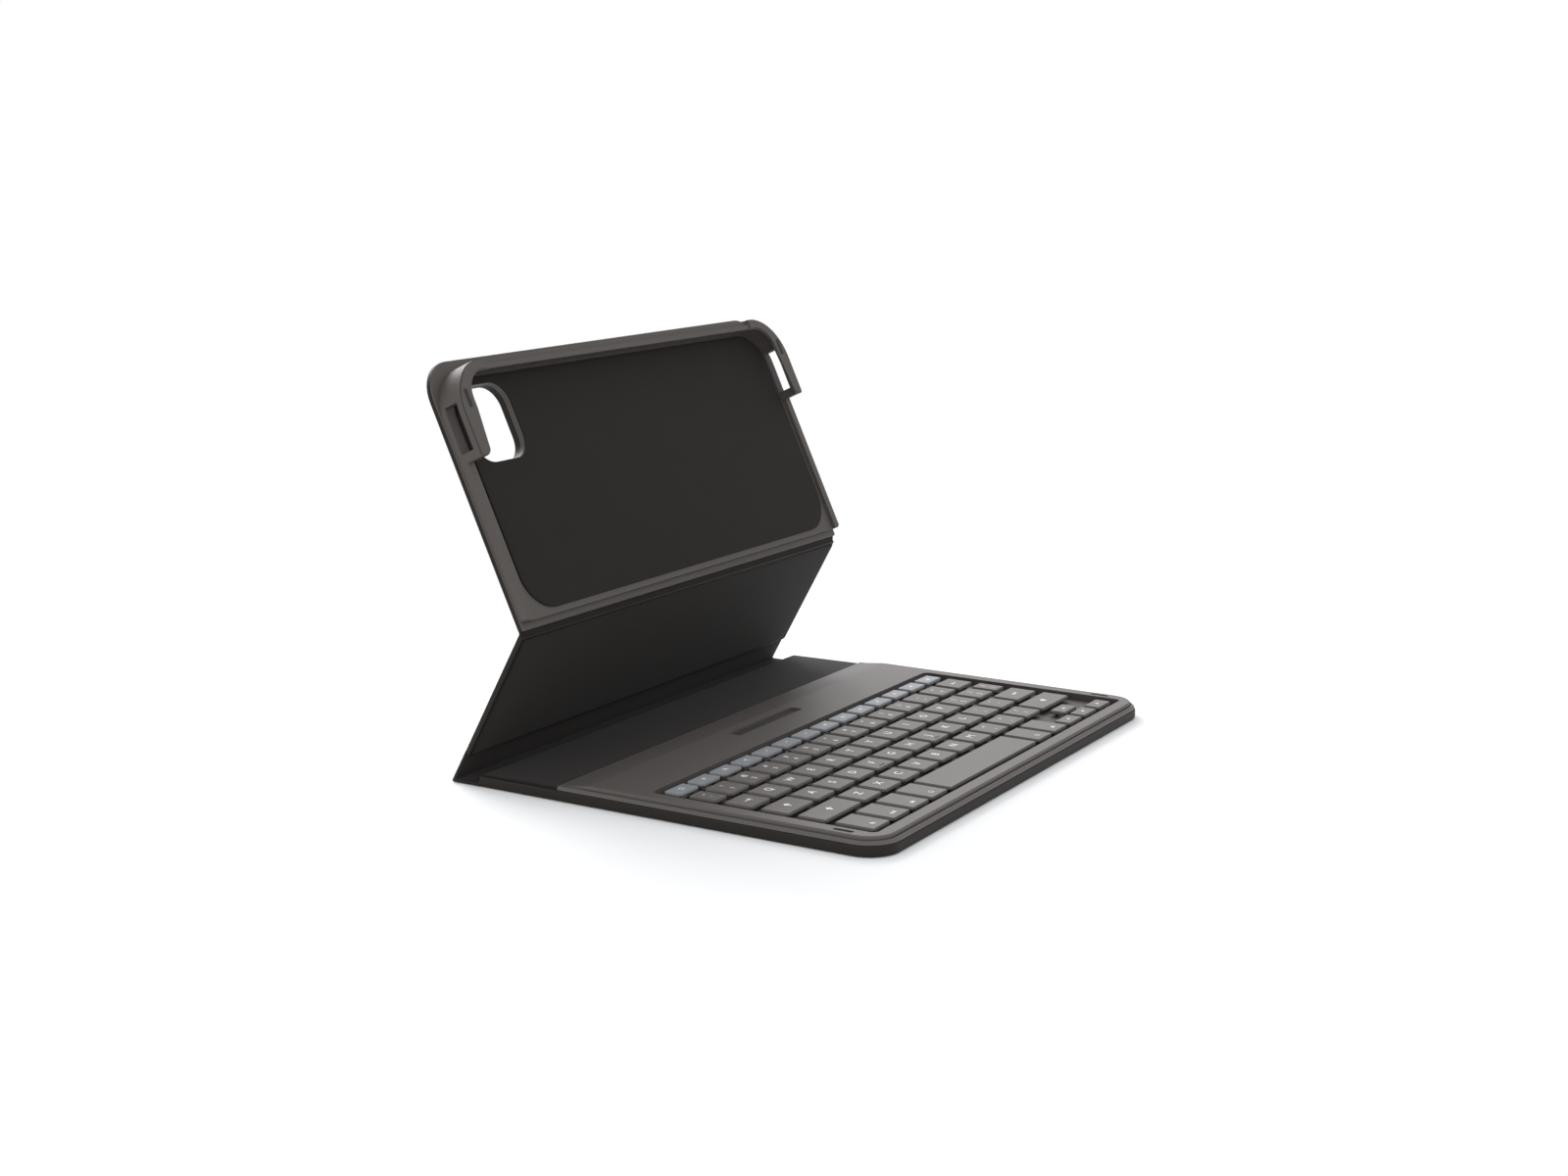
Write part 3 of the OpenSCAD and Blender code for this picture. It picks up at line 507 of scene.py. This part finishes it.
# ---------------------------------------------------------------- key legends
PX, PY, KEY_W, KEY_D = 17.17, 16.83, 14.4, 13.2
GRAVE_W, TAB_W, CAPS_W, SHIFT_W, DELETE_W, MOD_W = 9.0, 14.8, 20.5, 29.2, 14.9, 13.8
GAP, ROW_GAP = PX - KEY_W, PY - KEY_D
BLOCK_W = GRAVE_W + 12 * PX + GAP + DELETE_W
BX = -BLOCK_W / 2
SPACE_D, FN_D, KEYS_FRONT = 17.7, 8.3, 11.4
row_y = [KEYS_FRONT + SPACE_D / 2] + [KEYS_FRONT + SPACE_D + ROW_GAP + i * PY + KEY_D / 2 for i in range(4)]
row_y.append(row_y[4] + KEY_D / 2 + ROW_GAP + FN_D / 2)
KEY_TOP = RIM_H - 0.2
Q_X, A_X, Z_X, ONE_X = BX + TAB_W + GAP, BX + CAPS_W + GAP, BX + SHIFT_W + GAP, BX + GRAVE_W + GAP
INK = 0.012  # half the thickness of a printed legend


def glyph_mesh(text, size):
    """Flat outline of a short legend, centred, in mm."""
    curve = bpy.data.curves.new("glyph", "FONT")
    curve.body, curve.size = text, size
    curve.align_x, curve.align_y = "CENTER", "CENTER"
    curve.extrude = INK
    curve.offset = 0.045
    curve.resolution_u = 3
    obj = bpy.data.objects.new("glyph", curve)
    scene.collection.objects.link(obj)
    bpy.context.view_layer.update()
    me = bpy.data.meshes.new_from_object(obj.evaluated_get(bpy.context.evaluated_depsgraph_get()))
    bpy.data.objects.remove(obj)
    bpy.data.curves.remove(curve)
    return me


def shape(kind):
    """Simple signs drawn from polygons, in mm: lists of (x, y) outlines."""
    def bar(x0, y0, x1, y1):
        return [(x0, y0), (x1, y0), (x1, y1), (x0, y1)]

    def ring(r, s):
        return [(r * math.cos(2 * math.pi * k / s), r * math.sin(2 * math.pi * k / s)) for k in range(s)]

    up = [(-1.5, 0), (1.5, 0), (0, 1.6)]
    if kind == "shift":
        return [up, bar(-0.5, -1.2, 0.5, 0.0)]
    if kind == "caps":
        return [up, bar(-0.5, -0.7, 0.5, 0.0), bar(-0.5, -1.5, 0.5, -1.05)]
    if kind == "tab":
        return [bar(-1.6, -0.2, 0.6, 0.2), [(0.3, -0.9), (1.3, 0), (0.3, 0.9)], bar(1.35, -1.0, 1.65, 1.0)]
    if kind == "return":
        return [bar(-0.8, -0.2, 1.6, 0.2), bar(1.25, 0.2, 1.6, 1.2), [(-0.6, -0.9), (-0.6, 0.9), (-1.6, 0)]]
    if kind == "delete":
        return [bar(-0.8, -0.2, 1.6, 0.2), [(-0.6, -0.8), (-0.6, 0.8), (-1.6, 0)]]
    if kind in ("left", "right", "up", "down"):
        turn = {"up": 0, "left": 90, "down": 180, "right": 270}[kind]
        c, s = math.cos(math.radians(turn)), math.sin(math.radians(turn))
        return [[(x * c - y * s, x * s + y * c) for x, y in ((-0.95, -0.6), (0.95, -0.6), (0, 0.8))]]
    if kind == "sun":
        rays = []
        for k in range(8):
            c, s = math.cos(k * math.pi / 4), math.sin(k * math.pi / 4)
            rays.append([(c * x - s * y, s * x + c * y) for x, y in bar(1.0, -0.12, 1.5, 0.12)])
        return [ring(0.65, 12)] + rays
    if kind == "dim":
        around = [(1.15 * math.cos(k * math.pi / 4), 1.15 * math.sin(k * math.pi / 4)) for k in range(8)]
        return [ring(0.65, 12)] + [[(x * 1.1 + a, y * 1.1 + b) for x, y in ring(0.14, 6)] for a, b in around]
    if kind == "square":
        return [bar(-1.1, 0.85, 1.1, 1.1), bar(-1.1, -1.1, 1.1, -0.85), bar(-1.1, -0.85, -0.85, 0.85),
                bar(0.85, -0.85, 1.1, 0.85)]
    if kind == "search":
        return [[(x - 0.3, y + 0.3) for x, y in ring(0.75, 14)], [(0.2, -0.35), (0.35, -0.2), (1.3, -1.1), (1.1, -1.3)]]
    if kind == "back":
        return [[(0.1, -0.8), (0.1, 0.8), (-1.2, 0)], [(1.4, -0.8), (1.4, 0.8), (0.1, 0)]]
    if kind == "play":
        return [[(-1.2, -0.85), (0.2, 0), (-1.2, 0.85)], bar(0.4, -0.85, 0.7, 0.85), bar(1.0, -0.85, 1.3, 0.85)]
    if kind == "next":
        return [[(-1.4, -0.8), (-0.1, 0), (-1.4, 0.8)], [(-0.1, -0.8), (1.2, 0), (-0.1, 0.8)]]
    speaker = [bar(-1.4, -0.4, -0.8, 0.4), [(-0.8, -0.4), (0.1, -1.0), (0.1, 1.0), (-0.8, 0.4)]]
    if kind == "mute":
        return speaker
    if kind == "quiet":
        return speaker + [bar(0.5, -0.45, 0.7, 0.45)]
    if kind == "loud":
        return speaker + [bar(0.5, -0.45, 0.7, 0.45), bar(1.0, -0.8, 1.2, 0.8)]
    if kind == "lock":
        return [bar(-0.8, -1.0, 0.8, 0.2), bar(-0.55, 0.2, -0.3, 0.9), bar(0.3, 0.2, 0.55, 0.9),
                bar(-0.55, 0.9, 0.55, 1.12)]
    return [ring(0.5, 10)]


def sign_parts(kind, scale):
    """Points and faces of a sign, each outline a thin closed plate."""
    verts, faces = [], []
    for outline in shape(kind):
        n, k = len(outline), len(verts)
        verts += [(x * scale, y * scale, z) for z in (-INK, INK) for x, y in outline]
        faces.append(tuple(range(k + n - 1, k - 1, -1)))
        faces.append(tuple(range(k + n, k + 2 * n)))
        faces += [(k + i, k + (i + 1) % n, k + n + (i + 1) % n, k + n + i) for i in range(n)]
    return verts, faces


def legend(body, entries):
    """One mesh with all legends of a key body. Each entry is (text or sign, x, y from the front, size, is a sign)."""
    verts, faces = [], []
    for text, x, y, size, sign in entries:
        if sign:
            v, f = sign_parts(text, size)
        else:
            me = glyph_mesh(text, size)
            v, f = [tuple(p.co) for p in me.vertices], [tuple(q.vertices) for q in me.polygons]
            bpy.data.meshes.remove(me)
        k = len(verts)
        verts += [(p[0] + x, p[1] + FRONT + y, p[2] + KEY_TOP + 0.014) for p in v]
        faces += [tuple(i + k for i in q) for q in f]
    me = bpy.data.meshes.new("legend_" + body)
    me.from_pydata([Vector(v) * MM for v in verts], [], faces)
    me.materials.append(LEGEND_M)
    obj = bpy.data.objects.new("legend_" + body, me)
    scene.collection.objects.link(obj)
    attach(obj, "press_" + body)


LETTER = 5.0
for row, x0, letters in ((3, Q_X, "qwertyuiop"), (2, A_X, "asdfghjkl"), (1, Z_X, "zxcvbnm")):
    for i, c in enumerate(letters):
        legend("key_" + c, [(c.upper(), x0 + KEY_W / 2 + i * PX, row_y[row] + 0.4, LETTER, False)])
number = [("~", BX + 4.5, row_y[4] + 2.2, 3.2, False), ("`", BX + 4.5, row_y[4] - 2.6, 3.2, False)]
for i, pair in enumerate(("!1", "@2", "#3", "$4", "%5", "^6", "&7", "*8", "(9", ")0", "_-", "+=")):
    x = ONE_X + KEY_W / 2 + i * PX
    number += [(pair[0], x, row_y[4] + 2.5, 3.0, False), (pair[1], x, row_y[4] - 2.6, 3.4, False)]
number.append(("delete", ONE_X + 12 * PX + 7.3, row_y[4], 1.2, True))
legend("number_keys", number)
edge = [("tab", BX + 7.4, row_y[3], 1.2, True), ("caps", BX + 10.2, row_y[2], 1.2, True)]
punctuation = ((3, Q_X, 10, ("{[", "}]", "|\\")), (2, A_X, 9, (":;", "\"'")), (1, Z_X, 7, ("<,", ">.", "?/")))
for row, x0, first, pairs in punctuation:
    for i, pair in enumerate(pairs):
        x = x0 + KEY_W / 2 + (first + i) * PX
        if pair[0] == "|":
            x = (x0 + 12 * PX - BX) / 2
        edge += [(pair[0], x, row_y[row] + 2.5, 3.0, False), (pair[1], x, row_y[row] - 2.6, 3.2, False)]
legend("edge_keys", edge)
legend("return_key", [("return", (A_X + 11 * PX - BX) / 2, row_y[2], 1.3, True)])
legend("left_shift_key", [("shift", BX + 14.6, row_y[1], 1.2, True)])
legend("right_shift_key", [("shift", (Z_X + 10 * PX - BX) / 2, row_y[1], 1.2, True)])
mod = MOD_W + GAP
right = -BX - 5 * mod + GAP
half = (SPACE_D - 2.0) / 2
low, high = KEYS_FRONT + half / 2, KEYS_FRONT + SPACE_D - half / 2
foot = row_y[0] - 4.5
command = [("fn", BX + MOD_W / 2, foot, 3.0, False), ("ctrl", BX + mod + MOD_W / 2, foot, 3.0, False),
           ("alt", BX + 2 * mod + MOD_W / 2, foot, 3.0, False), ("square", BX + 3 * mod + MOD_W / 2, foot, 0.9, True),
           ("square", right + MOD_W / 2, foot, 0.9, True), ("alt", right + mod + MOD_W / 2, foot, 3.0, False),
           ("left", right + 2 * mod + MOD_W / 2, low, 1.1, True), ("down", right + 3 * mod + MOD_W / 2, low, 1.1, True),
           ("up", right + 3 * mod + MOD_W / 2, high, 1.1, True), ("right", right + 4 * mod + MOD_W / 2, low, 1.1, True)]
legend("command_keys", command)
fn_pitch = (BLOCK_W - 14) / 13
signs = ["square", "dim", "sun", "search", "dot", "dot", "dot", "back", "play", "next", "mute", "quiet", "loud", "lock"]
legend("function_keys", [(s, BX + 7 + i * fn_pitch, row_y[5], 1.0, True) for i, s in enumerate(signs)])

# ---------------------------------------------------------------- softened edges on the hard pieces
caps = [name for name in nodes if "key" in name and name not in ("keyboard_deck", "key_plate")]
for name, width in [("keyboard_deck", 0.18), ("tray_shell", 0.3)] + [(cap, 0.22) for cap in caps]:
    m = nodes[name].modifiers.new("edge", "BEVEL")
    m.width, m.segments, m.limit_method, m.angle_limit = width * MM, 2, "ANGLE", math.radians(38)
    m.use_clamp_overlap = True
    m.harden_normals = False

# ---------------------------------------------------------------- light, floor and camera
world = bpy.data.worlds.new("Studio")
scene.world = world
world.use_nodes = True
t = world.node_tree
t.nodes.clear()
out = t.nodes.new("ShaderNodeOutputWorld")
mix = t.nodes.new("ShaderNodeMixShader")
path = t.nodes.new("ShaderNodeLightPath")
seen = t.nodes.new("ShaderNodeBackground")
soft = t.nodes.new("ShaderNodeBackground")
seen.inputs["Color"].default_value = (1, 1, 1, 1)
seen.inputs["Strength"].default_value = 1.0
soft.inputs["Color"].default_value = (0.97, 0.98, 1.0, 1)
soft.inputs["Strength"].default_value = 0.75
t.links.new(path.outputs["Is Camera Ray"], mix.inputs[0])
t.links.new(soft.outputs[0], mix.inputs[1])
t.links.new(seen.outputs[0], mix.inputs[2])
t.links.new(mix.outputs[0], out.inputs["Surface"])


def area(name, at, target, size, power):
    """A white area lamp that faces its target."""
    d = bpy.data.lights.new(name, "AREA")
    d.shape, d.size, d.size_y, d.energy = "RECTANGLE", size[0], size[1], power
    o = bpy.data.objects.new(name, d)
    o.location = at
    o.rotation_mode = "QUATERNION"
    o.rotation_quaternion = (Vector(target) - Vector(at)).to_track_quat("-Z", "Y")
    scene.collection.objects.link(o)


area("back", (0.55, 1.0, 0.75), (0, 0, 0.02), (1.0, 0.7), 16)
area("front", (-0.3, -1.2, 0.9), (0, 0, 0.05), (1.2, 0.8), 5)
area("left", (-1.3, 0.1, 0.5), (0, 0, 0.08), (1.6, 1.2), 4.5)
area("right", (1.1, 0.5, 0.9), (0, 0, 0.02), (0.9, 0.9), 4)

FLOOR_HALF, FLOOR_Z = 40, -0.0002
FADE_START, FADE_END = 0.16, 0.42
floor_mesh = bpy.data.meshes.new("floor")
floor_mesh.from_pydata([(a * FLOOR_HALF, b * FLOOR_HALF, FLOOR_Z) for a, b in ((-1, -1), (1, -1), (1, 1), (-1, 1))],
                       [], [(0, 1, 2, 3)])
floor = bpy.data.objects.new("floor", floor_mesh)
scene.collection.objects.link(floor)
pale = bpy.data.materials.new("Floor")
pale.use_nodes = True
ft = pale.node_tree
paint = ft.nodes["Principled BSDF"]
paint.inputs["Base Color"].default_value = (0.9, 0.9, 0.9, 1)
paint.inputs["Roughness"].default_value = 0.9
paint.inputs["Specular IOR Level"].default_value = 0.1
# The floor fades out with distance, so that the white backdrop shows behind the object
coord = ft.nodes.new("ShaderNodeTexCoord")
dist = ft.nodes.new("ShaderNodeVectorMath")
dist.operation = "LENGTH"
ramp = ft.nodes.new("ShaderNodeMapRange")
ramp.inputs["From Min"].default_value = FADE_START
ramp.inputs["From Max"].default_value = FADE_END
ramp.interpolation_type = "SMOOTHSTEP"
clear = ft.nodes.new("ShaderNodeBsdfTransparent")
fade = ft.nodes.new("ShaderNodeMixShader")
ft.links.new(coord.outputs["Object"], dist.inputs[0])
ft.links.new(dist.outputs["Value"], ramp.inputs["Value"])
# and it is clear from below, so that the underside can be looked at
facing = ft.nodes.new("ShaderNodeNewGeometry")
either = ft.nodes.new("ShaderNodeMath")
either.operation = "MAXIMUM"
ft.links.new(ramp.outputs["Result"], either.inputs[0])
ft.links.new(facing.outputs["Backfacing"], either.inputs[1])
ft.links.new(either.outputs[0], fade.inputs[0])
ft.links.new(paint.outputs[0], fade.inputs[1])
ft.links.new(clear.outputs[0], fade.inputs[2])
ft.links.new(fade.outputs[0], ft.nodes["Material Output"].inputs["Surface"])
floor_mesh.materials.append(pale)

cam_data = bpy.data.cameras.new("camera")
cam_data.lens, cam_data.sensor_width = 53.972, 36.0
cam_data.clip_start, cam_data.clip_end = 0.05, 100
cam = bpy.data.objects.new("camera", cam_data)
cam.location = (-0.881177, -0.494418, 0.280524)
cam.rotation_mode = "QUATERNION"
cam.rotation_quaternion = Quaternion((0.674100, 0.547514, -0.315281, -0.382642))
scene.collection.objects.link(cam)
scene.camera = cam
scene.view_settings.view_transform = "Standard"
bpy.context.view_layer.update()
